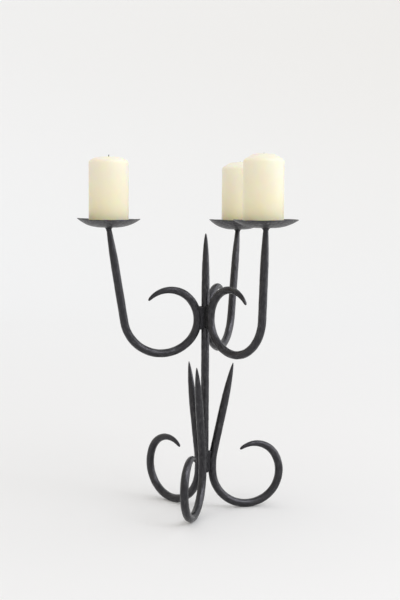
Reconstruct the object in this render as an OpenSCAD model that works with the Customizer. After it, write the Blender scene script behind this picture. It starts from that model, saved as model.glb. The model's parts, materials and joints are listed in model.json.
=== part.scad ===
// Forged iron candelabrum for three pillar candles.
// Three scrolled arms and three scrolled legs of round bar are welded around an upright stem.
// Each arm carries a dished drip pan with a pricket, and a candle that lifts off it.
// Millimetres, +Z up. The origin is on the stem's axis, on the surface that the feet stand on.

/* [Bar and stem] */
// Diameter of the round bar that every limb is forged from
bar_d = 12; // [11:0.5:13]
// Height of the stem's pointed top
stem_top = 410; // [380:5:440]
// Height of the stem's cut lower end
stem_bottom = 56; // [50:1:58]
// Length of the stem's drawn-out point
stem_point = 88; // [60:2:100]

/* [Arms] */
// Height at which each arm touches the stem
arm_join = [284, 286, 285]; // [280:0.5:290]
// Height at which each arm's neck meets its drip pan
arm_top = [418, 419, 414.5]; // [400:0.5:440]
// Direction of each arm around the stem
arm_azimuth = [196.5, 310, 70.5]; // [0:0.5:360]
// Outward lean of each arm's upright run
arm_lean = [9.5, 2.5, 12.5]; // [0:0.5:15]
// Bend radii from the stem down and round to the upright run
arm_bend_r = [45, 57]; // [40:1:60]
// Turn of the first of those bends
arm_bend_turn = 44; // [40:1:50]
// Radius of each arm's first bend above the join, where its curl begins
arm_curl_r = [45, 45, 46.5]; // [42:0.5:50]
// Turn of that bend
arm_curl_turn = 42; // [35:1:45]
// Bend radius of the rest of a curl
arm_curl_end_r = 41; // [38:1:44]
// Turn of the rest of each curl, which ends at its tip
arm_curl_end = [99, 106, 87]; // [80:1:110]
// Length over which a neck narrows up to its pan
neck_length = 60; // [40:1:70]

/* [Legs] */
// Height of the legs' pointed upper ends
spike_top = 218.5; // [200:0.5:225]
// Direction of each leg around the stem
leg_azimuth = [15.5, 136, 256]; // [0:0.5:360]
// Outward lean of each leg's pointed upper end
leg_lean = [12.5, 8.5, 15]; // [6:0.5:18]
// Bend radius between the stem and the pointed upper end
leg_lean_r = 95; // [80:5:120]
// Bend radii from the stem down and out past the foot
leg_bend_r = [200, 54]; // [50:1:220]
// Turns of those bends
leg_bend_turn = [3, 117]; // [1:0.5:120]
// Bend radius of each leg where it climbs from its foot
leg_climb_r = [47, 48.5, 44]; // [42:0.5:52]
// Turn of that bend
leg_climb_turn = 91.5; // [85:0.5:95]
// Bend radius of a leg's curl
leg_curl_r = 37; // [32:1:42]
// Turn of each leg's curl, which ends at its tip
leg_curl_end = [97, 104.5, 99.5]; // [90:0.5:110]
// Length of the pointed upper end's taper
spike_point = 76; // [60:1:90]
// Depth filed flat under each foot
foot_filed = 0.3; // [0.2:0.05:0.5]

/* [Curls] */
// Length over which a curl narrows to its blunt tip
curl_point = 75; // [60:1:95]
// Width of the blunt tip, as a share of the bar's width
curl_tip = 0.28; // [0.1:0.01:0.35]

/* [Drip pans] */
// Diameter over the rim
pan_d = 91; // [84:1:100]
// Height of each pan from its underside to its rim
pan_depth = [12.2, 11.5, 15.7]; // [10:0.1:17]
// Thickness of the plate
pan_t = 1.5; // [1:0.1:2]
// Radius of the flat middle of a pan
pan_flat_r = 8; // [7:1:14]
// Diameter of a pricket at its foot
pricket_d = 5; // [4:0.5:6]
// Height of a pricket above its pan
pricket_h = 26; // [20:1:30]

/* [Candles] */
// Diameter of a pillar candle
candle_d = 57; // [50:1:60]
// How far towards +X each candle stands from its pan's middle: the candles were pushed on by hand
candle_off = [0, -3.7, 3]; // [-4:0.1:4]
// Height of each pillar candle: the first is a little burnt down
candle_h = [95.5, 96, 99.5]; // [80:0.5:160]
// Diameter of the level middle of each candle's top
candle_top_d = [38, 29, 28]; // [20:1:44]
// Height of the bevel round each candle's top
candle_bevel = [5.5, 8.5, 8.5]; // [4:0.5:10]
// Diameter of a wick
wick_d = 1.2; // [1:0.1:2]
// Length of each wick that stands out of its candle
wick_out = [3, 1, 1]; // [0.5:0.5:8]

/* [Hidden] */
$fn = 96;

iron = [0.19, 0.19, 0.2];
bead = [0.25, 0.25, 0.26];
wax = [0.96, 0.93, 0.82];
cotton = [0.25, 0.21, 0.17];

bar_r = bar_d / 2;
bar_sides = 16;
ring_step = 6.5;      // distance between the rings of a swept bar
flat_reach = bar_r * cos(180 / bar_sides);   // from a bar's middle to the middle of one of its sides

// Shape of the tapers: share of the full radius at the end, and how quickly the taper fills out
stem_tip = 0.08;
stem_fill = 0.62;
spike_tip = 0.05;
spike_fill = 0.7;
curl_fill = 0.8;
neck_tip = 0.58;

// Size of the welds between the bars and the stem
arm_weld_t = 10.5;
leg_weld_t = 8;
weld_hollow = 3;      // how far a weld's ends are hollowed
arm_weld_span = [-15, 20];    // lower and upper end, from the arm's join
leg_weld_span = [-10, 21];    // lower and upper end, from the leg's join
weld_bite = 0.45;     // share of the bar's radius at which a weld starts inside a bar
weld_steps = 8;

// Shape of the weld collar under a pan
collar_r = 6.5;
collar_h = 5;
collar_steps = 6;

candle_gap = 0.05;    // play between a candle's foot and the pan that it stands in
bore_gap = 0.1;       // radial play between a pricket's foot and a candle's bore
wick_buried = 60;     // length of wick inside a candle
crown = 0.5;          // rise of a candle's top inside its bevel

// ---- Routes: a bar's middle line, in the upright plane that it is bent in ----
// A route is a list of [outward, up, heading, length so far]. A bend is [length, turn], and a straight has no turn.

function bend(r, turn) = [r * turn * PI / 180, turn];

function along(q, b, t) =
    let (h = q[2] + b[1] * t, r = b[1] == 0 ? 0 : b[0] * 180 / (PI * b[1]))
    b[1] == 0
        ? [q[0] + b[0] * t * cos(h), q[1] + b[0] * t * sin(h), h, q[3] + b[0] * t]
        : [q[0] + r * (sin(h) - sin(q[2])), q[1] - r * (cos(h) - cos(q[2])), h, q[3] + b[0] * t];

function steps(b) = ceil(b[0] / ring_step);

function walk(q, bends, i = 0) =
    i == len(bends) ? [] : concat(
        [for (k = [1:steps(bends[i])]) along(q, bends[i], k / steps(bends[i]))],
        walk(along(q, bends[i], 1), bends, i + 1));

function route(q, bends) = concat([q], walk(q, bends));

function last(list) = list[len(list) - 1];

// The same route walked from its far end, with its lengths counted back from the join
function reversed(list) = [for (k = [len(list) - 1:-1:0])
    [list[k][0], list[k][1], list[k][2] + 180, -list[k][3]]];

// Two routes that leave one join, as one route from the first one's far end to the second one's
function joined(first, second) = concat(reversed(first), [for (k = [1:len(second) - 1]) second[k]]);

// A bend followed by a straight that ends at a height
function straight_to(q, z) = [(z - q[1]) / sin(q[2]), 0];

// Where an arm leaves the stem, going down or up
function arm_start(i, heading) = [bar_d, arm_join[i], heading, 0];

function arm_bends(i) = [
    bend(arm_bend_r[0], arm_bend_turn),
    bend(arm_bend_r[1], 180 - arm_bend_turn - arm_lean[i])];

function arm_lower(i) =
    let (bent = route(arm_start(i, -90), arm_bends(i)))
    concat(bent, walk(last(bent), [straight_to(last(bent), arm_top[i])]));

// A bend to the other side has a negative radius and turn, so its length stays positive
function curl_bend(r, turn) = [r * turn * PI / 180, -turn];

function arm_upper(i) = route(arm_start(i, 90), [
    curl_bend(arm_curl_r[i], arm_curl_turn),
    curl_bend(arm_curl_end_r, arm_curl_end[i])]);

function arm_route(i) = joined(arm_lower(i), arm_upper(i));

// The second leg bend passes its lowest point, where the bar's side rests filed on the floor
leg_join = flat_reach - foot_filed
    + leg_bend_r[0] * sin(leg_bend_turn[0]) + leg_bend_r[1] * (1 - sin(leg_bend_turn[0]));

// Where a leg leaves the stem, going down or up
function leg_start(heading) = [bar_d, leg_join, heading, 0];

function leg_lower(i) = route(leg_start(-90), [
    bend(leg_bend_r[0], leg_bend_turn[0]),
    bend(leg_bend_r[1], leg_bend_turn[1]),
    bend(leg_climb_r[i], leg_climb_turn),
    bend(leg_curl_r, leg_curl_end[i])]);

function leg_upper(i) =
    let (bent = route(leg_start(90), [curl_bend(leg_lean_r, leg_lean[i])]))
    concat(bent, walk(last(bent), [straight_to(last(bent), spike_top)]));

function leg_route(i) = joined(leg_upper(i), leg_lower(i));

// ---- Tapers: a bar's radius at a distance from its end ----

function taper(s, length, tip, fill) =
    bar_r * (tip + (1 - tip) * sin(90 * pow(min(1, max(0, s / length)), fill)));

function arm_radii(list) = [for (q = list) min(
    taper(q[3] - list[0][3], neck_length, neck_tip, 1),
    taper(last(list)[3] - q[3], curl_point, curl_tip, curl_fill))];

function leg_radii(list) = [for (q = list) min(
    taper(q[3] - list[0][3], spike_point, spike_tip, spike_fill),
    taper(last(list)[3] - q[3], curl_point, curl_tip, curl_fill))];

// ---- Sweep: rings of points square to a route, closed at both ends ----

// One ring. Its sides face along the bend, and nothing reaches under the floor or over the top height.
function ring(q, r, top) = [for (k = [0:bar_sides - 1])
    let (a = (k + 0.5) * 360 / bar_sides, off = r * cos(a))
    [q[0] - off * sin(q[2]), r * sin(a), min(top, max(0, q[1] + off * cos(q[2])))]];

function sweep_faces(rings) = concat(
    [[for (k = [0:bar_sides - 1]) k]],
    [for (j = [0:rings - 2], k = [0:bar_sides - 1])
        let (a = j * bar_sides + k, b = j * bar_sides + (k + 1) % bar_sides)
        [a, a + bar_sides, b]],
    [for (j = [0:rings - 2], k = [0:bar_sides - 1])
        let (a = j * bar_sides + k, b = j * bar_sides + (k + 1) % bar_sides)
        [b, a + bar_sides, b + bar_sides]],
    [[for (k = [bar_sides - 1:-1:0]) (rings - 1) * bar_sides + k]]);

module swept_bar(list, radii, top) {
    points = [for (j = [0:len(list) - 1]) each ring(list[j], radii[j], top)];
    polyhedron(points = points, faces = sweep_faces(len(list)));
}

// An arm's route with its first ring laid level, so that the neck ends flat under the pan
function levelled(list) = [for (j = [0:len(list) - 1])
    j == 0 ? [list[0][0], list[0][1], -90, list[0][3]] : list[j]];

module at_azimuth(a) {
    rotate([0, 0, a]) children();
}

module arm(i) {
    list = arm_route(i);
    color(iron) at_azimuth(arm_azimuth[i]) swept_bar(levelled(list), arm_radii(list), arm_top[i]);
}

module leg(i) {
    list = leg_route(i);
    color(iron) at_azimuth(leg_azimuth[i]) swept_bar(list, leg_radii(list), stem_top);
}

// ---- Stem ----

module stem() {
    point_steps = 14;
    chamfer = 0.8;
    color(iron) rotate_extrude() polygon(concat(
        [[0, stem_bottom], [bar_r - chamfer, stem_bottom], [bar_r, stem_bottom + chamfer]],
        [for (k = [point_steps:-1:1])
            let (s = stem_point * k / point_steps)
            [taper(s, stem_point, stem_tip, stem_fill), stem_top - s]],
        [[0, stem_top]]));
}

// ---- Welds ----

// How far out a bar's middle line is at a height, where it bends away from the stem on both sides of the join
function bar_out(rise, r_down, r_up) =
    let (r = rise < 0 ? r_down : r_up) bar_d + r - sqrt(r * r - rise * rise);

// The web of weld metal between the stem and a bar, over a span of heights counted from the bar's join
module weld_web(join, span, thickness, r_down, r_up) {
    bite = bar_r * weld_bite;
    rises = [for (k = [0:weld_steps]) span[0] + (span[1] - span[0]) * k / weld_steps];
    color(bead) rotate([90, 0, 0]) linear_extrude(thickness, center = true) polygon(concat(
        [[bite, join + span[1]], [bite, join + span[0]]],
        [[bar_out(span[0], r_down, r_up) / 2, join + span[0] + weld_hollow]],
        [for (rise = rises) [bar_out(rise, r_down, r_up) - bite, join + rise]],
        [[bar_out(span[1], r_down, r_up) / 2, join + span[1] - weld_hollow]]));
}

module arm_weld(i) {
    at_azimuth(arm_azimuth[i])
        weld_web(arm_join[i], arm_weld_span, arm_weld_t, arm_bend_r[0], arm_curl_r[i]);
}

module leg_weld(i) {
    at_azimuth(leg_azimuth[i])
        weld_web(leg_join, leg_weld_span, leg_weld_t, leg_bend_r[0], leg_lean_r);
}

// ---- Pans, prickets, candles and wicks, each made on its own axis with the arm's top at zero ----

module on_arm(i) {
    at_azimuth(arm_azimuth[i]) translate([arm_route(i)[0][0], 0, arm_top[i]]) children();
}

pan_r = pan_d / 2;
dish_steps = 14;
rim_t = 1.2;          // width of a pan's level rim: the plate thins out towards it

// Height of one side of a pan, which is level in the middle and then curves up on a ball to meet the rim
function dish_z(i, r, rim_r, bottom) =
    let (out = rim_r - pan_flat_r, up = pan_depth[i] - bottom, ball = (out * out + up * up) / (2 * up))
    bottom + ball - sqrt(ball * ball - pow(max(0, r - pan_flat_r), 2));

function dish_curve(i, rim_r, bottom) = [for (k = [0:dish_steps])
    let (r = pan_flat_r + (rim_r - pan_flat_r) * k / dish_steps)
    [r, dish_z(i, r, rim_r, bottom)]];

module drip_pan(i) {
    inner = dish_curve(i, pan_r - rim_t, pan_t);
    color(iron) on_arm(i) rotate_extrude() polygon(concat(
        [[0, 0]],
        dish_curve(i, pan_r, 0),
        [for (k = [dish_steps:-1:0]) inner[k]],
        [[0, pan_t]]));
}

module pan_weld(i) {
    neck_r = bar_r * neck_tip;
    color(bead) on_arm(i) rotate_extrude() polygon(concat(
        [[0, -collar_h]],
        [for (k = [0:collar_steps])
            let (a = 90 * k / collar_steps)
            [collar_r - (collar_r - neck_r) * cos(a), -collar_h * (1 - sin(a))]],
        [[0, 0]]));
}

module pricket(i) {
    point_h = 5;
    point_r = 0.3;
    shoulder_r = pricket_d / 2 * 0.6;
    color(iron) on_arm(i) translate([0, 0, pan_t]) rotate_extrude() polygon([
        [0, 0], [pricket_d / 2, 0], [shoulder_r, pricket_h - point_h], [point_r, pricket_h], [0, pricket_h]]);
}

candle_r = candle_d / 2;
bore_r = pricket_d / 2 + bore_gap;
bore_spare = 3;       // depth of bore above a pricket's point

// Height at which the side of a candle's foot that is furthest out meets the dish
function candle_foot(i) = dish_z(i, candle_r + abs(candle_off[i]), pan_r - rim_t, pan_t) + candle_gap;

// The middle of a candle's foot
module at_candle(i) {
    translate([candle_off[i], 0, 0]) on_arm(i) translate([0, 0, candle_foot(i)]) children();
}

// The bore stays over the pricket where the candle stands to one side
module candle(i) {
    height = candle_h[i];
    bore_h = pricket_h + pan_t - candle_foot(i) + bore_spare;
    color(wax) difference() {
        at_candle(i) rotate_extrude() polygon([
            [0, 0], [candle_r, 0], [candle_r, height - candle_bevel[i]],
            [candle_top_d[i] / 2, height - crown], [0, height]]);
        on_arm(i) translate([0, 0, candle_foot(i) - 1]) cylinder(r = bore_r, h = bore_h + 1);
        at_candle(i) translate([0, 0, height - wick_buried]) cylinder(d = wick_d, h = wick_buried + 1);
    }
}

module wick(i) {
    color(cotton) at_candle(i) translate([0, 0, candle_h[i] - wick_buried])
        cylinder(d = wick_d, h = wick_buried + wick_out[i]);
}

stem();
arm(0);  // arm_1
arm(1);  // arm_2
arm(2);  // arm_3
leg(0);  // leg_1
leg(1);  // leg_2
leg(2);  // leg_3
arm_weld(0);  // arm_weld_1
arm_weld(1);  // arm_weld_2
arm_weld(2);  // arm_weld_3
leg_weld(0);  // leg_weld_1
leg_weld(1);  // leg_weld_2
leg_weld(2);  // leg_weld_3
drip_pan(0);  // drip_pan_1
drip_pan(1);  // drip_pan_2
drip_pan(2);  // drip_pan_3
pan_weld(0);  // pan_weld_1
pan_weld(1);  // pan_weld_2
pan_weld(2);  // pan_weld_3
pricket(0);  // pricket_1
pricket(1);  // pricket_2
pricket(2);  // pricket_3
candle(0);  // candle_1
candle(1);  // candle_2
candle(2);  // candle_3
wick(0);  // wick_1
wick(1);  // wick_2
wick(2);  // wick_3
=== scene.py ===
"""Forged iron candelabrum for three pillar candles: the looks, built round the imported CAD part.

Pieces are worked out in millimetres and written to their meshes in metres, in the part's own frame.
Heights, reaches and directions are read from the CAD nodes. The bends of the bars repeat the smith's recipe.
"""

import json
import math

import bmesh
import bpy
import numpy as np
from mathutils import Matrix, Vector


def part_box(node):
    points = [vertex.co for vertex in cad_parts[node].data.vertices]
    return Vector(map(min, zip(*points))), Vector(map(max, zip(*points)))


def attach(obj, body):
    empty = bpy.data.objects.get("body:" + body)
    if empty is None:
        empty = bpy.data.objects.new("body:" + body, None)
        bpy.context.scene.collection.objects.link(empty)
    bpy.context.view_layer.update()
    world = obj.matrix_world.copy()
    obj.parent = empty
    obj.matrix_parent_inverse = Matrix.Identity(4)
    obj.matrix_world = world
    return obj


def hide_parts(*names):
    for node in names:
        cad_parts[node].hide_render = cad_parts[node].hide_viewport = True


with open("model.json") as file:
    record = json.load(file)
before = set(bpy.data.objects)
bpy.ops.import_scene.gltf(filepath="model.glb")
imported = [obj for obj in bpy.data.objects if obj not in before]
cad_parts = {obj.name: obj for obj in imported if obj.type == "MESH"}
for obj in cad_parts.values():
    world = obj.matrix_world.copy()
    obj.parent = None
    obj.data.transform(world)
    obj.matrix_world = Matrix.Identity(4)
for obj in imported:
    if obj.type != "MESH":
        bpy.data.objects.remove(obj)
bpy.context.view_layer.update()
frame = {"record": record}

MM = 0.001
FULL_TURN = 2 * math.pi
LIMBS = (1, 2, 3)
# Seeds of the random draws, ten for each kind of piece
(ARM_SEED, LEG_SEED, STEM_SEED, PAN_SEED, ARM_WELD_SEED, LEG_WELD_SEED, PAN_WELD_SEED, PRICKET_SEED,
 CANDLE_SEED) = range(0, 90, 10)


# ---- Sizes read from the frame, in millimetres ----


def node_box(node):
    """Lowest and highest corner of a CAD node, in millimetres."""
    low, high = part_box(node)
    return np.array(low) / MM, np.array(high) / MM


def node_middle(node):
    low, high = node_box(node)
    return (low + high) / 2


def node_axis(node, height):
    """The point at a height on the upright axis through a node's middle."""
    middle = node_middle(node)
    return np.array([middle[0], middle[1], height])


def azimuth_of(point):
    """Direction of a point round the stem, in degrees."""
    return math.degrees(math.atan2(point[1], point[0]))


stem_low, stem_high = node_box("stem")
bar_r = (stem_high[0] - stem_low[0]) / 2
pan_box = {limb: node_box(f"drip_pan_{limb}") for limb in LIMBS}
pan_r = (pan_box[1][1][0] - pan_box[1][0][0]) / 2
arm_top = {limb: pan_box[limb][0][2] for limb in LIMBS}
spike_top = node_box("leg_1")[1][2]
feet = {m["name"]: m["pos_m"] for m in frame["record"]["mounts"] if m["kind"] == "flat_face"}

# ---- The recipe of the bends, in millimetres and degrees, as in the part's source ----

arm_join = {1: 284, 2: 286, 3: 285}
arm_lean = {1: 9.5, 2: 2.5, 3: 12.5}
arm_bend_r = (45, 57)
arm_bend_turn = 44
arm_curl_r = {1: 45, 2: 45, 3: 46.5}
arm_curl_turn = 42
arm_curl_end_r = 41
arm_curl_end = {1: 99, 2: 106, 3: 87}
neck_length = 60

leg_lean = {1: 12.5, 2: 8.5, 3: 15}
leg_lean_r = 95
leg_bend_r = (200, 54)
leg_bend_turn = (3, 117)
leg_climb_r = {1: 47, 2: 48.5, 3: 44}
leg_climb_turn = 91.5
leg_curl_r = 37
leg_curl_end = {1: 97, 2: 104.5, 3: 99.5}
spike_point = 76
stem_point = 88
curl_point = 75
foot_filed = 0.3
cad_bar_sides = 16
# Height of a leg's middle line over its filed foot
foot_rest = bar_r * math.cos(math.pi / cad_bar_sides) - foot_filed

# Tapers: share of the full radius at the end, and how quickly the taper fills out
STEM_TAPER = (0.08, 0.62)
SPIKE_TAPER = (0.05, 0.7)
CURL_TAPER = (0.28, 0.8)
NECK_TAPER = (0.58, 1)

pan_t = 1.5
rim_t = 1.2
pan_flat_r = 8


# ---- Meshes ----


def write_mesh(name, points, faces, material):
    """A smooth closed mesh object from points in millimetres, with its faces turned outward."""
    mesh = bpy.data.meshes.new(name)
    mesh.from_pydata((np.asarray(points) * MM).tolist(), [], faces)
    tidy = bmesh.new()
    tidy.from_mesh(mesh)
    bmesh.ops.recalc_face_normals(tidy, faces=tidy.faces)
    tidy.to_mesh(mesh)
    tidy.free()
    return placed(name, mesh, material)


def placed(name, mesh, material):
    """A new object in the scene that shows a mesh, smooth and in one material."""
    mesh.polygons.foreach_set("use_smooth", [True] * len(mesh.polygons))
    mesh.materials.append(material)
    made = bpy.data.objects.new(name, mesh)
    bpy.context.scene.collection.objects.link(made)
    return made


def quads(rows, cols):
    """Faces between rings of points that lie ring after ring."""
    faces = []
    for row in range(rows - 1):
        for col in range(cols):
            here, beside = row * cols + col, row * cols + (col + 1) % cols
            faces.append((here, beside, beside + cols, here + cols))
    return faces


def skin_faces(rows, cols, start, end):
    """Quads between rings of points, and a fan to the single point at each end."""
    faces = quads(rows, cols)
    last = (rows - 1) * cols
    for col in range(cols):
        beside = (col + 1) % cols
        faces.append((start, beside, col))
        faces.append((last + col, last + beside, end))
    return faces


def skin(name, rings, start, end, material, unbent=None):
    """A closed skin over rings, an array of rows x columns x 3, with an end point before and after them.
    unbent is where each point was before the bar was bent: the pattern of its material follows that."""
    rows, cols = rings.shape[:2]
    points = np.vstack([rings.reshape(-1, 3), [start], [end]])
    made = write_mesh(name, points, skin_faces(rows, cols, rows * cols, rows * cols + 1), material)
    if unbent is not None:
        middles = unbent.mean(axis=1)
        places = np.vstack([unbent.reshape(-1, 3), middles[:1], middles[-1:]])
        written = made.data.attributes.new("unbent", "FLOAT_VECTOR", "POINT")
        written.data.foreach_set("vector", (places * MM).ravel())
    return made


def share_of_way(value, low, high):
    """How far a value has come from low to high, as a share held between 0 and 1."""
    return np.clip((value - low) / (high - low), 0, 1)


def turned(points, degrees):
    """Points turned round the stem's axis."""
    c, s = math.cos(math.radians(degrees)), math.sin(math.radians(degrees))
    return points @ np.array([[c, s, 0], [-s, c, 0], [0, 0, 1]])


# ---- Middle lines of the bars, in the upright plane that each is bent in ----

DOWN, UP = -90, 90


def bend(radius, turn):
    """A bend's length and turn. A turn below zero bends to the other side."""
    return radius * abs(math.radians(turn)), turn


def point_on(start, bends, distance):
    """(out, up, heading) at a distance along a line that begins at start, heading in degrees."""
    out, up, heading = start
    for length, turn in bends:
        part = min(distance, length)
        turned_by = turn * part / length
        middle = math.radians(heading + turned_by / 2)
        half = math.radians(turned_by / 2)
        chord = part * (math.sin(half) / half if half else 1)
        out += chord * math.cos(middle)
        up += chord * math.sin(middle)
        heading += turned_by
        distance -= part
        if distance <= 0:
            break
    return out, up, heading


def total(bends):
    return sum(length for length, _ in bends)


def straight_to(start, bends, height):
    """The bends, and then a straight that ends at a height."""
    _, up, heading = point_on(start, bends, total(bends))
    return bends + [((height - up) / math.sin(math.radians(heading)), 0)]


def taper(distance, length, shape):
    """Share of a bar's full radius at a distance from its end."""
    tip, fill = shape
    share = np.clip(np.asarray(distance) / length, 0, 1) ** fill
    return tip + (1 - tip) * np.sin(share * math.pi / 2)


def dome(distance, radius):
    """Radius of a round end of that radius, at a distance from its tip."""
    near = np.clip(np.asarray(distance), 0, radius)
    return np.where(near < radius, np.sqrt(near * (2 * radius - near)), np.inf)


RING_STEP = 1.6
BAR_SIDES = 40
TIP_TURNS = np.linspace(0.12, 0.5, 5) * math.pi    # where the rings of a round end are, in its quarter circle
TIP_CLEAR = 1.6       # where the even rings begin, in radii of the round end


def stations(low, high, tip_low, tip_high):
    """Distances along a bar for its rings, closer together over each round end."""
    into_tip = 1 - np.cos(TIP_TURNS)
    count = math.ceil((high - low) / RING_STEP)
    run = np.linspace(low + tip_low * TIP_CLEAR, high - tip_high * TIP_CLEAR, count)
    return np.concatenate([low + tip_low * into_tip, run, (high - tip_high * into_tip)[::-1]])


# ---- The hammered skin ----

MARK_AREA = 17        # skin area in square millimetres for each hammer mark
MARK_DEPTH = (0.005, 0.045)     # share of the bar's radius
MARK_LENGTH = (3, 8.5)          # half a mark's length
MARK_LEAN = 0.3       # a mark reaches round the bar to where the skin's cosine to it falls to this
PATTERN_GAP = 1000    # distance between the patterns of two bars' materials


def around_in(sides, first=0):
    """Angles of a ring's points. The first one is at that share of a step."""
    return (np.arange(sides) + first) * FULL_TURN / sides


def ring_points(r, around, z):
    """Points of upright rings, as rows x columns x 3, from their radii and heights."""
    return np.stack([r * np.cos(around), r * np.sin(around), z + 0 * r], axis=2)


def straight_bar(along, around, r, seed):
    """Points of the bar before it was bent, so far from other bars' that its material's pattern differs."""
    return ring_points(r, around, along[:, None] + PATTERN_GAP * seed)


def hammered(along, around, radii, seed):
    """Radii, rows x columns, of a bar whose round skin is flattened by overlapping hammer marks."""
    draw = np.random.default_rng(seed)
    count = int((along[-1] - along[0]) * FULL_TURN * bar_r / MARK_AREA)
    skin_r = np.repeat(radii[:, None], len(around), axis=1)
    for _ in range(count):
        middle = draw.uniform(along[0], along[-1])
        facing = draw.uniform(0, FULL_TURN)
        depth = draw.uniform(*MARK_DEPTH)
        half = draw.uniform(*MARK_LENGTH)
        first, last = np.searchsorted(along, (middle - half, middle + half))
        if first == last:
            continue
        fade = 1 - ((along[first:last] - middle) / half) ** 2
        flat = radii[first:last] * (1 - depth * fade)
        lean = np.cos(around - facing)
        plane = flat[:, None] / np.maximum(lean, MARK_LEAN)[None, :]
        skin_r[first:last] = np.minimum(skin_r[first:last], plane)
    return skin_r


# ---- Bars ----


def swept_bar(name, line, radii_at, low, high, ends, seed, azimuth, ceiling):
    """A round bar along a middle line, from low to high. ends are the radii of its two round tips.
    Nothing reaches under the floor or over the ceiling."""
    along = stations(low, high, *ends)
    around = around_in(BAR_SIDES, 0.5)
    r = hammered(along, around, radii_at(along), seed)
    rings = np.empty((len(along), BAR_SIDES, 3))
    for row, s in enumerate(along):
        out, up, heading = line(s)
        heading = math.radians(heading)
        off = r[row] * np.cos(around)
        rings[row, :, 0] = out - off * math.sin(heading)
        rings[row, :, 1] = r[row] * np.sin(around)
        rings[row, :, 2] = up + off * math.cos(heading)
    rings[:, :, 2] = np.clip(rings[:, :, 2], 0, ceiling)
    tips = (turned(np.array([line(s)[0], 0, min(line(s)[1], ceiling)]), azimuth) for s in (low, high))
    return skin(name, turned(rings, azimuth), *tips, iron, straight_bar(along, around, r, seed))


def limb_line(join, first_heading, first, second):
    """A limb's middle line by its distance from the join: backwards along first, forwards along second."""

    def line(s):
        if s < 0:
            out, up, heading = point_on((2 * bar_r, join, first_heading), first, -s)
            return out, up, heading + 180
        return point_on((2 * bar_r, join, -first_heading), second, s)

    return line


NECK_END = 0.4        # spacing of the rings at a neck's flat end, in place of a round tip
curl_tip_r = bar_r * CURL_TAPER[0]


def arm_azimuth(limb):
    return azimuth_of(node_middle(f"drip_pan_{limb}"))


def leg_azimuth(limb):
    return azimuth_of(feet[f"foot_{limb}"])


def arm(limb):
    """An arm's bar, from its neck under the pan, down and round to the join, and up to its curl's tip."""
    start = (2 * bar_r, arm_join[limb], DOWN)
    turns = (arm_bend_turn, 180 - arm_bend_turn - arm_lean[limb])
    down = straight_to(start, [bend(r, turn) for r, turn in zip(arm_bend_r, turns)], arm_top[limb])
    curl = [bend(arm_curl_r[limb], -arm_curl_turn), bend(arm_curl_end_r, -arm_curl_end[limb])]
    low, high = -total(down), total(curl)

    def radii(s):
        neck = taper(s - low, neck_length, NECK_TAPER)
        point = taper(high - s, curl_point, CURL_TAPER)
        return np.minimum(bar_r * np.minimum(neck, point), dome(high - s, curl_tip_r))

    return swept_bar(f"arm_bar_{limb}", limb_line(arm_join[limb], DOWN, down, curl), radii, low, high,
                     (NECK_END, curl_tip_r), ARM_SEED + limb, arm_azimuth(limb), arm_top[limb])


leg_join = (foot_rest + leg_bend_r[0] * math.sin(math.radians(leg_bend_turn[0]))
            + leg_bend_r[1] * (1 - math.sin(math.radians(leg_bend_turn[0]))))


def leg(limb):
    """A leg's bar, from its pointed upper end, down past the join and round its foot, to its curl's tip."""
    up = straight_to((2 * bar_r, leg_join, UP), [bend(leg_lean_r, -leg_lean[limb])], spike_top)
    scroll = [bend(r, turn) for r, turn in zip(leg_bend_r, leg_bend_turn)]
    scroll += [bend(leg_climb_r[limb], leg_climb_turn), bend(leg_curl_r, leg_curl_end[limb])]
    low, high = -total(up), total(scroll)
    point_r = bar_r * SPIKE_TAPER[0]

    def radii(s):
        spike = taper(s - low, spike_point, SPIKE_TAPER)
        point = taper(high - s, curl_point, CURL_TAPER)
        round_ends = np.minimum(dome(high - s, curl_tip_r), dome(s - low, point_r))
        return np.minimum(bar_r * np.minimum(spike, point), round_ends)

    return swept_bar(f"leg_bar_{limb}", limb_line(leg_join, UP, up, scroll), radii, low, high,
                     (point_r, curl_tip_r), LEG_SEED + limb, leg_azimuth(limb), spike_top)


def stem():
    """The upright bar, with a chamfer at its cut lower end and a drawn-out point."""
    low, high = stem_low[2], stem_high[2]
    point_r = bar_r * STEM_TAPER[0]
    chamfer = 0.8

    def radii(s):
        full = bar_r * taper(high - s, stem_point, STEM_TAPER)
        cut_end = np.minimum(bar_r, bar_r - chamfer + (s - low))
        return np.minimum(np.minimum(full, cut_end), dome(high - s, point_r))

    return swept_bar("stem_bar", lambda s: (0, s, UP), radii, low, high, (chamfer, point_r), STEM_SEED, 0,
                     high)


# ---- Lathed pieces ----


ROUNDING_POINTS = 7


def rounded_outline(corners):
    """An outline of (radius, height) points from corners of (radius, height, rounding)."""
    points = []
    for index, (r, z, rounding) in enumerate(corners):
        here = np.array([r, z], float)
        if not rounding:
            points.append(here)
            continue
        before, after = (np.array(corners[index + step][:2], float) for step in (-1, 1))
        to_before = (before - here) / np.linalg.norm(before - here)
        to_after = (after - here) / np.linalg.norm(after - here)
        half = math.acos(np.clip(to_before @ to_after, -1, 1)) / 2
        reach = rounding / math.tan(half)
        start, end = here + to_before * reach, here + to_after * reach
        inward = (to_before + to_after) / np.linalg.norm(to_before + to_after)
        centre = here + inward * rounding / math.sin(half)
        for share in np.linspace(0, 1, ROUNDING_POINTS):
            chord = start + (end - start) * share - centre
            points.append(centre + chord / np.linalg.norm(chord) * rounding)
    return np.array(points)


def finer(outline, step):
    """The same outline with points no further apart than step."""
    points = [outline[0]]
    for here, there in zip(outline[:-1], outline[1:]):
        count = max(1, math.ceil(np.linalg.norm(there - here) / step))
        points += [here + (there - here) * k / count for k in range(1, count + 1)]
    return np.array(points)


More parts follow.
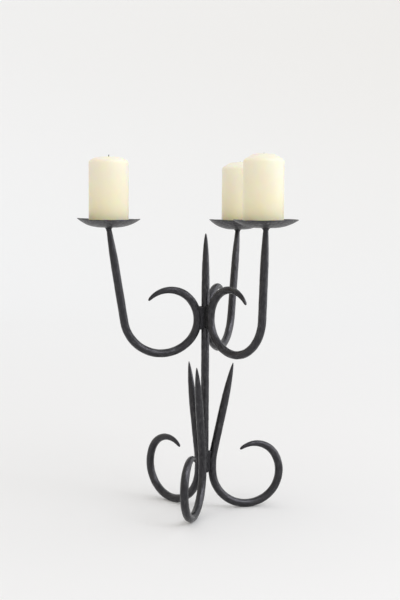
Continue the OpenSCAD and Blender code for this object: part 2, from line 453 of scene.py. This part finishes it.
def lathed(name, outline, sides, centre, material, reshape=None, slide=0):
    """A solid turned from an outline of (radius, height) whose two ends are on the axis, standing at centre.
    reshape takes and gives the radii and heights of all the rings, with the angle of each column.
    slide is how far each of the outline's rings is pushed along X."""
    around = around_in(sides)
    r = np.repeat(outline[1:-1, 0][:, None], sides, axis=1)
    z = np.repeat(outline[1:-1, 1][:, None], sides, axis=1)
    if reshape:
        r, z = reshape(r, z, around)
    pushed = np.zeros(len(outline)) + slide
    rings = ring_points(r, around, z)
    rings[:, :, 0] += pushed[1:-1, None]
    ends = (np.array([pushed[row], 0, z[row].mean()]) + centre for row in (0, -1))
    return skin(name, rings + centre, *ends, material)


# ---- Drip pans ----

PAN_SIDES = 144
PAN_ROWS = 30
PAN_FLAT_POINTS = 6
PAN_MARKS = 150
PAN_MARK_R = (4, 7.5)
PAN_MARK_DEPTH = (0.1, 0.3)
PAN_MARK_PLACE = 0.03           # share of the pan's area, in its middle, that is left unmarked
PAN_MARK_FADE = (8, 20, 0.15)   # radii between which the marks grow to full depth, and their least share
RIM_ROUND = 0.6
RIM_WAVES = ((3, 0.2), (5, 0.16), (9, 0.08))    # waves round the rim, and the size of each
RIM_INWARD = 0.008    # share of a rim's radius by which its waves draw it in
pan_seat_r = 30       # inside this radius a pan stays level for its candle
FLANGE_CURVE = 1.5    # how late the rim's waves and dips fade in outside that
# How far each rim dips on one side, which side that is, and how far it sags both near and far
RIM_DIP = {1: (0.5, -40, 1.1), 2: (0.9, -120, 0.1), 3: (0.3, -90, 0.3)}


def dish(rim_r, bottom, depth):
    """One side of a pan: level in the middle, and then curved up on a ball to meet the rim."""
    out, up = rim_r - pan_flat_r, depth - RIM_ROUND - bottom
    ball = (out * out + up * up) / (2 * up)
    r = pan_flat_r + out * np.linspace(0, 1, PAN_ROWS)
    return np.column_stack([r, bottom + ball - np.sqrt(ball * ball - (r - pan_flat_r) ** 2)])


def dish_outline(depth):
    outer = dish(pan_r, 0, depth)
    inner = dish(pan_r - rim_t, pan_t, depth)[::-1]
    turn = np.linspace(0, math.pi, ROUNDING_POINTS)[1:-1]
    middle = pan_r - rim_t / 2
    rim = np.column_stack([middle + rim_t / 2 * np.cos(turn), depth - RIM_ROUND * (1 - np.sin(turn))])
    flat_out = [(r, 0) for r in np.linspace(0, pan_flat_r, PAN_FLAT_POINTS)[:-1]]
    flat_in = [(r, pan_t) for r in np.linspace(pan_flat_r, 0, PAN_FLAT_POINTS)[1:]]
    return np.vstack([flat_out, outer, rim, inner, flat_in])


def hammered_dish(seed, dip, dip_side, sag):
    """A reshape for a pan: shallow overlapping hammer marks, and a rim that waves a little, always inward."""
    draw = np.random.default_rng(seed)
    marks = [(pan_r * math.sqrt(draw.uniform(PAN_MARK_PLACE, 1)), draw.uniform(0, FULL_TURN),
              draw.uniform(*PAN_MARK_R), draw.uniform(*PAN_MARK_DEPTH)) for _ in range(PAN_MARKS)]
    waves = [(count, size, draw.uniform(0, FULL_TURN)) for count, size in RIM_WAVES]

    def reshape(r, z, around):
        x, y = r * np.cos(around), r * np.sin(around)
        dent = np.zeros_like(z)
        for mark_r, angle, size, depth in marks:
            away = ((x - mark_r * math.cos(angle)) ** 2 + (y - mark_r * math.sin(angle)) ** 2) / size ** 2
            dent = np.minimum(dent, depth * (away - 1))
        flange = share_of_way(r, pan_seat_r, pan_r) ** FLANGE_CURVE
        wave = sum(size * np.sin(count * around + phase) for count, size, phase in waves)
        drop = dip * np.cos(around - math.radians(dip_side)) - sag * np.cos(2 * around)
        inward = RIM_INWARD * (1 + sum(size * np.cos(count * around + phase) for count, size, phase in waves))
        fade_from, fade_to, least = PAN_MARK_FADE
        dent_share = np.clip((r - fade_from) / (fade_to - fade_from), least, 1)
        return r * (1 - inward * flange), np.maximum(z + dent * dent_share + flange * (wave - drop), 0)

    return reshape


def drip_pan(limb):
    low, high = pan_box[limb]
    centre = node_axis(f"drip_pan_{limb}", low[2])
    shape = hammered_dish(PAN_SEED + limb, *RIM_DIP[limb])
    return lathed(f"hammered_pan_{limb}", dish_outline(high[2] - low[2]), PAN_SIDES, centre, pan_metal, shape)


# ---- Welds ----

arm_weld_t = 10.5
leg_weld_t = 8
weld_bite = 0.45
arm_weld_span = (-15, 20)
leg_weld_span = (-10, 21)
WELD_VOXEL = 0.42
WELD_FLOW = (0.5, 3)            # how much the melted lumps are smoothed, and how many times
RIPPLE_STEP = 1.5
RIPPLE_INSET = (2, 1.9)         # how far the lowest and highest ripples stay inside the weld's span
RIPPLE_SWELL = (0.9, 1.04)      # share of a quarter of the weld's thickness
RIPPLE_SHIFT = 0.4
RIPPLE_HEIGHT = (1.7, 2.5)
CORE_NARROWER = 1.15            # how many times thicker a weld is than its core
CORE_HEIGHT = 2.1               # half the height of the core's lump at each ripple
WELD_REACH = 1.8      # length of the weld metal from the stem to a bar, as a share of the gap it fills


def bar_out(rise, r_down, r_up):
    """How far out a bar's middle line is at a height counted from its join."""
    r = r_down if rise < 0 else r_up
    return 2 * bar_r + r - math.sqrt(r * r - rise * rise)


def melted(name, blobs, material):
    """One lump of weld metal from overlapping ellipsoids, each (centre, half sizes, turn round the stem)."""
    build = bmesh.new()
    for centre, half, azimuth in blobs:
        place = Matrix.Rotation(math.radians(azimuth), 4, "Z") @ Matrix.Translation(Vector(centre) * MM)
        place = place @ Matrix.Diagonal((*(Vector(half) * MM), 1))
        bmesh.ops.create_icosphere(build, subdivisions=3, radius=1, matrix=place)
    mesh = bpy.data.meshes.new(name)
    build.to_mesh(mesh)
    build.free()
    rough = bpy.data.objects.new(name + "_rough", mesh)
    bpy.context.scene.collection.objects.link(rough)
    joined = rough.modifiers.new("melt", "REMESH")
    joined.mode = "VOXEL"
    joined.voxel_size = WELD_VOXEL * MM
    flow = rough.modifiers.new("flow", "SMOOTH")
    flow.factor, flow.iterations = WELD_FLOW
    bpy.context.view_layer.update()
    graph = bpy.context.evaluated_depsgraph_get()
    cast = bpy.data.meshes.new_from_object(rough.evaluated_get(graph), depsgraph=graph)
    bpy.data.objects.remove(rough)
    cast.name = name
    cast.materials.clear()
    return placed(name, cast, material)


def weld(name, join, span, thickness, bends, azimuth, seed):
    """Weld metal that fills the gap between the stem and a bar, nearly flush with them and a little lumpy."""
    draw = np.random.default_rng(seed)
    bite = bar_r * weld_bite
    blobs = []
    for rise in np.arange(span[0] + RIPPLE_INSET[0], span[1] - RIPPLE_INSET[1], RIPPLE_STEP):
        inner, outer = bite, bar_out(rise, *bends) - bite
        middle, reach = (outer + inner) / 2, (outer - inner) / 2 * WELD_REACH
        for side in (-1, 1):
            swell = thickness / 4 * draw.uniform(*RIPPLE_SWELL)
            shift = draw.uniform(-RIPPLE_SHIFT, RIPPLE_SHIFT)
            place = (middle + shift, side * (thickness / 2 - swell), join + rise)
            blobs.append((place, (reach, swell, draw.uniform(*RIPPLE_HEIGHT)), azimuth))
        core = (reach, thickness / 2 / CORE_NARROWER, CORE_HEIGHT)
        blobs.append(((middle, 0, join + rise), core, azimuth))
    return melted(name, blobs, weld_metal)


def arm_weld(limb):
    bends = arm_bend_r[0], arm_curl_r[limb]
    return weld(f"arm_bead_{limb}", arm_join[limb], arm_weld_span, arm_weld_t, bends, arm_azimuth(limb),
                ARM_WELD_SEED + limb)


def leg_weld(limb):
    bends = leg_bend_r[0], leg_lean_r
    return weld(f"leg_bead_{limb}", leg_join, leg_weld_span, leg_weld_t, bends, leg_azimuth(limb),
                LEG_WELD_SEED + limb)


COLLAR_SIDES = 64
COLLAR_ROWS = 12
COLLAR_LUMPS = ((5, 0.05), (9, 0.04), (17, 0.03))    # waves round a collar, and the size of each


def pan_weld(limb):
    """The fillet that joins an arm's neck to the underside of its pan."""
    low, high = node_box(f"pan_weld_{limb}")
    collar_r = (high[0] - low[0]) / 2
    height = high[2] - low[2]
    neck_r = bar_r * NECK_TAPER[0]
    turn = np.linspace(0, math.pi / 2, COLLAR_ROWS)
    flank = np.column_stack([collar_r - (collar_r - neck_r) * np.cos(turn), height * (np.sin(turn) - 1)])
    outline = np.vstack([[(0, -height)], flank, [(0, 0)]])
    phases = np.random.default_rng(PAN_WELD_SEED + limb).uniform(0, FULL_TURN, len(COLLAR_LUMPS))

    def reshape(r, z, around):
        share = share_of_way(z, -height, 0)
        lumps = sum(size * np.sin(count * around + phase)
                    for (count, size), phase in zip(COLLAR_LUMPS, phases))
        return r * (1 + share * lumps), z

    centre = node_axis(f"pan_weld_{limb}", high[2])
    return lathed(f"neck_bead_{limb}", outline, COLLAR_SIDES, centre, weld_metal, reshape)


# ---- Prickets ----


THIN_SIDES = 24       # sides of a pricket or a wick
PRICKET_END = 0.2     # spacing of the rings at a pricket's flat foot, in place of a round tip
PRICKET_SHOULDER = 0.6          # share of its foot's radius where a pricket's point begins


def pricket(limb):
    """The spike that a candle is pushed down on, with hammered flanks."""
    low, high = node_box(f"pricket_{limb}")
    foot_r = (high[0] - low[0]) / 2
    length = high[2] - low[2]
    point_h, point_r = 5, 0.3

    def radii(s):
        shank = foot_r * (1 - (1 - PRICKET_SHOULDER) * share_of_way(s, 0, length - point_h))
        point = point_r + (foot_r * PRICKET_SHOULDER - point_r) * share_of_way(s, length, length - point_h)
        return np.minimum(np.minimum(shank, point), dome(length - s, point_r))

    along = stations(0, length, PRICKET_END, point_r)
    around = around_in(THIN_SIDES)
    seed = PRICKET_SEED + limb
    r = hammered(along, around, radii(along), seed)
    foot = node_axis(f"pricket_{limb}", low[2])
    return skin(f"pricket_spike_{limb}", ring_points(r, around, along[:, None]) + foot, foot,
                foot + np.array([0, 0, length]), iron, straight_bar(along, around, r, seed))


# ---- Candles and wicks ----

CANDLE_SIDES = 120
CANDLE_STEP = 2.2     # longest step along a candle's outline
CANDLE_WAVES = (1, 2, 3, 5)     # waves round a candle's side
CANDLE_WAVE_SIZE = (0.02, 0.07)
WAVES_FROM = (20, 28)           # radii between which the waves grow to their full size
SAG = 0.12            # how far the wax round the top has sunk, up to twice this
SAG_FROM = (4, 12)    # radii between which it sinks more and more
candle_top_r = {1: 19, 2: 14.5, 3: 14}
candle_bevel = {1: 5.5, 2: 8.5, 3: 8.5}
candle_crown = 0.5
bore_gap = 0.1
bore_spare = 3        # depth of bore above a pricket's point
wick_r = 0.6
well_r = 5            # radius of the shallow well round a wick


def candle_outline(bore_r, bore_h, full_r, height, wick_low, limb):
    """A candle's outline from the top of its bore, round its foot and top, to the end of its wick's hole."""
    return finer(rounded_outline([
        (0, bore_h, 0),
        (bore_r, bore_h, 0.8),
        (bore_r, 0, 0.7),
        (full_r, 0, 1.1),
        (full_r, height - candle_bevel[limb], 6),
        (candle_top_r[limb], height - candle_crown, 9),
        (well_r, height - 0.1, 2),
        (wick_r + 0.1, height - 0.45, 0.2),
        (wick_r, wick_low, 0.1),
        (0, wick_low, 0)]), CANDLE_STEP)


def hand_poured(seed, height, bevel):
    """A reshape for a candle: a side that isn't quite round, and a top that has sunk a little, unevenly."""
    draw = np.random.default_rng(seed)
    waves = [(count, draw.uniform(0, FULL_TURN), draw.uniform(*CANDLE_WAVE_SIZE)) for count in CANDLE_WAVES]

    def reshape(r, z, around):
        outside = share_of_way(r, *WAVES_FROM)
        hollow = sum(size * (1 + np.sin(count * around + phase + z * size)) for count, phase, size in waves)
        top = share_of_way(r, *SAG_FROM) * (z > height - bevel - 1)
        sunk = SAG * top * (1 + np.sin(2 * around + waves[0][1]) * np.cos(3 * around + waves[1][1]))
        return r - hollow / 2 * outside, z - sunk

    return reshape


def candle(limb):
    """A pillar candle, with its bore over the pricket also where the candle stands to one side."""
    low, high = node_box(f"candle_{limb}")
    wick_low = node_box(f"wick_{limb}")[0][2] - low[2]
    pricket_low, pricket_high = node_box(f"pricket_{limb}")
    bore_r = (pricket_high[0] - pricket_low[0]) / 2 + bore_gap
    bore_h = pricket_high[2] - low[2] + bore_spare
    full_r, height = (high[0] - low[0]) / 2, high[2] - low[2]
    outline = candle_outline(bore_r, bore_h, full_r, height, wick_low, limb)
    # The foot's rings slide from over the pricket back to the candle's middle on their way out
    bore_off = node_middle(f"pricket_{limb}")[0] - node_middle(f"candle_{limb}")[0]
    inward = share_of_way(outline[:, 0], full_r, bore_r)
    slide = np.where(outline[:, 1] < (bore_h + wick_low) / 2, bore_off * inward, 0)
    shape = hand_poured(CANDLE_SEED + limb, height, candle_bevel[limb])
    foot = node_axis(f"candle_{limb}", low[2])
    return lathed(f"pillar_candle_{limb}", outline, CANDLE_SIDES, foot, wax, shape, slide)


WICK_ROWS = 190
WICK_LAY = 3.2        # length in which the strands turn once round the wick
WICK_LOBES = (0.84, 0.16)       # least share of the wick's radius, and what the lobes add to it
WICK_SHOWN = 3        # length at the top that bends over
WICK_BENT = (0.15, -0.1, 0)     # how far it bends
WICK_BURNT = (0.5, 0.3)         # length at the very top that is burnt thinner, and how much thinner
TIP_TINT = (3, 1.2)   # how far below the top of wick 1 the tips' colour begins, and where it is full


def wick(limb):
    """Three cotton strands twisted together: a three-lobed outline that turns as it rises."""
    low, high = node_box(f"wick_{limb}")
    length = high[2] - low[2]
    along = np.linspace(0, length, WICK_ROWS)
    around = around_in(THIN_SIDES)
    twist = along[:, None] * FULL_TURN / WICK_LAY
    lobes = WICK_LOBES[0] + WICK_LOBES[1] * np.abs(np.cos(1.5 * (around[None, :] - twist)))
    shown = share_of_way(along, length - WICK_SHOWN, length)[:, None]
    burnt, thinner = WICK_BURNT
    narrowed = 1 - thinner * share_of_way(along, length - burnt, length)[:, None]
    rings = ring_points(wick_r * lobes * narrowed, around, along[:, None])
    rings += (shown ** 2)[:, :, None] * np.array(WICK_BENT)
    foot = node_axis(f"wick_{limb}", low[2])
    tip = foot + np.array(WICK_BENT) + np.array([0, 0, length])
    return skin(f"twisted_wick_{limb}", rings + foot, foot, tip, wick_burnt if limb == 1 else wick_fresh)


# ---- Materials ----


def new_material(name):
    """A material with only a Principled shader, and its node tree."""
    made = bpy.data.materials.new(name)
    made.use_nodes = True
    return made


def give(material, socket, value):
    """An input is given a value or linked to another node's output."""
    if isinstance(value, bpy.types.NodeSocket):
        material.node_tree.links.new(value, socket)
    else:
        socket.default_value = value


def node(material, kind, inputs=None, **settings):
    """A new node, with what its inputs are given."""
    made = material.node_tree.nodes.new("ShaderNode" + kind)
    for setting, value in settings.items():
        setattr(made, setting, value)
    for socket, value in (inputs or {}).items():
        give(material, made.inputs[socket], value)
    return made


def set_shader(material, inputs):
    """Give the Principled shader's inputs their values or links."""
    shader = material.node_tree.nodes["Principled BSDF"]
    for socket, value in inputs.items():
        give(material, shader.inputs[socket], value)


def place_of(material):
    """Where a point is on its object, in metres."""
    return node(material, "TexCoord").outputs["Object"]


def unbent_place_of(material):
    """Where a point was on the straight bar, in metres."""
    return node(material, "Attribute", attribute_name="unbent").outputs["Vector"]


def noise(material, where, size_mm, detail=3.0, roughness=0.55):
    """Noise from 0 to 1 whose patches are about that many millimetres across."""
    inputs = {"Vector": where, "Scale": 1 / (size_mm * MM), "Detail": detail, "Roughness": roughness}
    return node(material, "TexNoise", inputs).outputs["Fac"]


def spread(material, value, low, high, to_low=0.0, to_high=1.0):
    """The value stretched from low..high to to_low..to_high, and held there."""
    inputs = {"Value": value, "From Min": low, "From Max": high, "To Min": to_low, "To Max": to_high}
    return node(material, "MapRange", inputs).outputs["Result"]


def mix(material, share, a, b):
    """Colour a at share 0 and colour b at share 1."""
    made = node(material, "Mix", data_type="RGBA")
    values = {"Factor": share, "A": a, "B": b}
    for socket in made.inputs:
        if socket.enabled and socket.name in values:
            give(material, socket, values[socket.name])
    return next(socket for socket in made.outputs if socket.enabled)


def grey(value, warmth=0.0):
    """A colour that is grey, with a little more red and less blue as warmth rises."""
    return value * (1 + warmth), value, value * (1 - warmth), 1


STEEL_TINT = (0.98, 0.96, 1.06, 1)


def bump(material, height, strength, depth_mm, under=None):
    """The direction of a skin with relief that deep. under is the output of a bump that it adds to."""
    inputs = {"Height": height, "Strength": strength, "Distance": depth_mm * MM}
    if under:
        inputs["Normal"] = under
    return node(material, "Bump", inputs).outputs["Normal"]


def forged(name, tones, roughness, specular, relief, where_on=place_of, drawn_out=1.0):
    """Blackened iron: cloudy fire scale, worn streaks, hammer dents and a satin wax finish.
    tones are the dark, light and worn greys, roughness is where the skin is worn and where it isn't,
    relief is the depth of the dents in millimetres, and drawn_out is how far the worn patches and dents
    are stretched along a bar."""
    made = new_material(name)
    where = where_on(made)
    drawn = node(made, "VectorMath", {0: where, 1: (1, 1, 1 / drawn_out)}, operation="MULTIPLY")
    stretched = drawn.outputs["Vector"]
    clouds = noise(made, where, 16, 4)
    scale = noise(made, stretched, 2.4, 3, 0.7)
    dents = noise(made, stretched, 3.2, 1, 0.5)
    grain = noise(made, where, 0.7, 1)
    dark, light, worn = (grey(tone) for tone in tones)
    tone = mix(made, spread(made, clouds, 0.32, 0.68), dark, light)
    tone = mix(made, spread(made, scale, 0.48, 0.66, 0, 0.9), tone, worn)
    edge = node(made, "NewGeometry").outputs["Pointiness"]
    tone = mix(made, spread(made, edge, 0.51, 0.6, 0, 0.7), tone, worn)
    fine = bump(made, grain, 0.5, relief * 0.1)
    set_shader(made, {"Base Color": tone, "Roughness": spread(made, scale, 0.3, 0.7, *reversed(roughness)),
                      "Metallic": 0.0, "Specular IOR Level": specular, "Specular Tint": STEEL_TINT,
                      "Normal": bump(made, dents, 1.0, relief, fine)})
    return made


def wax_material():
    """Cream wax with painted shade: darker and yellower towards the foot, where the pan shades it, and paler
    towards the tops of the candles, with a soft satin skin.
    """
    made = new_material("candle_wax")
    where = place_of(made)
    foot, top = (value[2] * MM for value in node_box("candle_3"))
    height = node(made, "SeparateXYZ", {"Vector": where}).outputs["Z"]
    clouds = noise(made, where, 26, 3)
    specks = noise(made, where, 1.4, 4)
    # Painted shade: the wax is darker and yellower towards the foot, where the pan shades the candle, and
    # paler towards the top
    cream_with_painted_foot_shade = mix(made, spread(made, height, foot, top), (0.865, 0.785, 0.51, 1), (0.875, 0.835, 0.70, 1))
    tone = mix(made, spread(made, clouds, 0.3, 0.7, 0, 0.25), cream_with_painted_foot_shade, (0.91, 0.87, 0.72, 1))
    tone = mix(made, spread(made, specks, 0.6, 0.8, 0, 0.25), tone, (0.90, 0.87, 0.78, 1))
    set_shader(made, {"Base Color": tone, "Roughness": spread(made, specks, 0.3, 0.7, 0.42, 0.55),
                      "Subsurface Weight": 0.8, "Subsurface Radius": (1.0, 0.62, 0.2),
                      "Subsurface Scale": 12 * MM, "Specular IOR Level": 0.8, "Sheen Weight": 0.1,
                      "Normal": bump(made, noise(made, where, 5, 4), 0.25, 0.15)})
    return made


def cotton(name, raw, tip):
    """Waxed cotton of one colour, raw, that turns to another at its tip."""
    made = new_material(name)
    where = place_of(made)
    height = node(made, "SeparateXYZ", {"Vector": where}).outputs["Z"]
    wick_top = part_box("wick_1")[1].z
    burnt = spread(made, height, *(wick_top - below * MM for below in TIP_TINT))
    fibres = noise(made, where, 0.3, 2)
    thread = mix(made, spread(made, fibres, 0.3, 0.7), raw, tuple(c * 0.75 for c in raw[:3]) + (1,))
    set_shader(made, {"Base Color": mix(made, burnt, thread, tip), "Roughness": 0.9,
                      "Normal": bump(made, fibres, 0.6, 0.08)})
    return made


def painted_light_paper():
    """Seamless studio paper with painted light: it is painted a little lighter further from the object, so
    the backdrop stands brighter than the floor, and it glows a little, most near the object, which lifts the
    object's shadow.
    """
    made = new_material("studio_paper_painted_light")
    where = place_of(made)
    away = node(made, "VectorMath", {0: where}, operation="LENGTH").outputs["Value"]
    # Painted light: lighter further from the object, so the backdrop stands brighter than the floor, a little
    # warmer near and cooler far
    tone = mix(made, spread(made, away, 0.3, 4.5), grey(0.79, 0.008), grey(0.91, -0.008))
    fibres = noise(made, where, 1.2, 3)
    # Painted glow: the paper glows, more near the object, which lifts the object's shadow on the floor
    set_shader(made, {"Base Color": tone, "Roughness": 0.95, "Specular IOR Level": 0.1,
                      "Emission Color": grey(1), "Emission Strength": spread(made, away, 2.2, 5, 0.09, 0.06),
                      "Normal": bump(made, fibres, 0.05, 0.1)})
    return made


iron = forged("forged_iron", (0.002, 0.006, 0.045), (0.18, 0.42), 0.46, 0.7, unbent_place_of, 3)
pan_metal = forged("pan_iron", (0.005, 0.018, 0.08), (0.28, 0.48), 0.46, 1.2)
weld_metal = forged("weld_metal", (0.002, 0.006, 0.02), (0.36, 0.6), 0.4, 0.6)
wax = wax_material()
wick_burnt = cotton("burnt_wick", (0.20, 0.16, 0.11, 1), (0.006, 0.005, 0.005, 1))
wick_fresh = cotton("fresh_wick", (0.62, 0.57, 0.45, 1), (0.42, 0.38, 0.30, 1))

# ---- The object ----


def stand_for(piece, body, slot, *nodes):
    """The piece rides on a body and is seen in place of these CAD nodes."""
    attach(piece, body)
    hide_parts(*nodes)


stand_for(stem(), "root", "iron", "stem")
for limb in LIMBS:
    stand_for(arm(limb), "root", "iron", f"arm_{limb}")
    stand_for(leg(limb), "root", "iron", f"leg_{limb}")
    stand_for(arm_weld(limb), "root", "weld_metal", f"arm_weld_{limb}")
    stand_for(leg_weld(limb), "root", "weld_metal", f"leg_weld_{limb}")
    stand_for(drip_pan(limb), "root", "pan_iron", f"drip_pan_{limb}")
    stand_for(pan_weld(limb), "root", "weld_metal", f"pan_weld_{limb}")
    stand_for(pricket(limb), "root", "iron", f"pricket_{limb}")
    stand_for(candle(limb), f"candle_{limb}", "candle_wax", f"candle_{limb}")
    stand_for(wick(limb), f"candle_{limb}", "wick_cotton", f"wick_{limb}")

# ---- Studio, in metres: a paper floor that sweeps up into a round backdrop ----

FLOOR_R = 3.2
FLOOR_RINGS = np.linspace(0.4, FLOOR_R, 8)
SWEEP_R = 1.4
SWEEP_TURNS = np.linspace(0, math.pi / 2, 14)
WALL_TOP = 5.0
STAGE_SIDES = 96


def revolved_sheet(name, outline, material):
    """An open sheet turned round the stem's axis from an outline in metres."""
    points = [(r * math.cos(a), r * math.sin(a), z) for r, z in outline for a in around_in(STAGE_SIDES)]
    mesh = bpy.data.meshes.new(name)
    mesh.from_pydata(points, [], quads(len(outline), STAGE_SIDES))
    made = placed(name, mesh, material)
    return made


floor_outline = [(MM, 0)] + [(r, 0) for r in FLOOR_RINGS]
wall_outline = [(FLOOR_R + SWEEP_R * math.sin(t), SWEEP_R * (1 - math.cos(t))) for t in SWEEP_TURNS]
wall_outline.append((FLOOR_R + SWEEP_R, WALL_TOP))
studio_paper_painted_light = painted_light_paper()
revolved_sheet("studio_floor", floor_outline, studio_paper_painted_light)
backdrop = revolved_sheet("studio_backdrop", wall_outline, studio_paper_painted_light)
# The backdrop is only looked at, and lets the room's soft light through
backdrop.visible_diffuse = False
backdrop.visible_glossy = False
backdrop.visible_shadow = False

# ---- Light ----


def softbox(name, place, aim, size, radiance, colour, lights_surfaces=True):
    """A rectangular light of a size in metres. One that doesn't light surfaces only shows in their gloss."""
    data = bpy.data.lights.new(name, "AREA")
    data.shape = "RECTANGLE"
    data.size, data.size_y = size
    data.energy = radiance * math.pi * size[0] * size[1]
    data.color = colour
    made = bpy.data.objects.new(name, data)
    made.location = place
    made.rotation_euler = (Vector(aim) - Vector(place)).to_track_quat("-Z", "Y").to_euler()
    made.visible_diffuse = lights_surfaces
    bpy.context.scene.collection.objects.link(made)


ROOM_BRIGHT_SIDE = (0.78, 0.15, 0.6)
ROOM_DIM = (0.77, 0.715, 0.63, 1)
ROOM_BRIGHT = (0.95, 0.97, 1.0, 1)


def room_light():
    """White walls all round, dimmer and warmer on one side, and brighter towards the other and above."""
    world = bpy.data.worlds.new("room")
    world.use_nodes = True
    direction = node(world, "TexCoord").outputs["Generated"]
    facing = node(world, "VectorMath", {0: direction, 1: ROOM_BRIGHT_SIDE}, operation="DOT_PRODUCT")
    light = mix(world, spread(world, facing.outputs["Value"], -1, 1), ROOM_DIM, ROOM_BRIGHT)
    world.node_tree.links.new(light, world.node_tree.nodes["Background"].inputs["Color"])
    bpy.context.scene.world = world


room_light()
middle = (0, 0, 0.3)
softbox("window", (1.75, -1.45, 2.3), middle, (1.5, 1.5), 2.45, (0.96, 0.985, 1.05))
softbox("window_sheen", (1.75, -1.3, 2.2), middle, (2.8, 2.6), 2.0, (0.99, 0.98, 1.0), lights_surfaces=False)
softbox("wall_sheen", (2.3, 0.15, 0.8), middle, (2.6, 2.4), 1.6, (0.99, 0.98, 1.0), lights_surfaces=False)

# ---- Camera: eye level with the pans, looking a little down ----

CAMERA_AT = (0, -1.640, 0.4324)
CAMERA_DOWN, CAMERA_YAW, CAMERA_ROLL = (math.radians(angle) for angle in (4.19, -0.28, -0.32))


def camera_axes():
    """The camera's right, up and forward directions."""
    flat = Vector((math.sin(CAMERA_YAW), math.cos(CAMERA_YAW), 0))
    side = Vector((math.cos(CAMERA_YAW), -math.sin(CAMERA_YAW), 0))
    forward = flat * math.cos(CAMERA_DOWN) - Vector((0, 0, 1)) * math.sin(CAMERA_DOWN)
    upright = flat * math.sin(CAMERA_DOWN) + Vector((0, 0, 1)) * math.cos(CAMERA_DOWN)
    right = side * math.cos(CAMERA_ROLL) - upright * math.sin(CAMERA_ROLL)
    up = side * math.sin(CAMERA_ROLL) + upright * math.cos(CAMERA_ROLL)
    return right, up, forward


camera_data = bpy.data.cameras.new("camera")
camera_data.lens = 67.2
camera_data.sensor_width = 36
camera_data.clip_end = 40
camera = bpy.data.objects.new("camera", camera_data)
right, up, forward = camera_axes()
camera.matrix_world = Matrix.Translation(CAMERA_AT) @ Matrix((right, up, -forward)).transposed().to_4x4()
bpy.context.scene.collection.objects.link(camera)
bpy.context.scene.camera = camera
bpy.context.scene.view_settings.view_transform = "Standard"
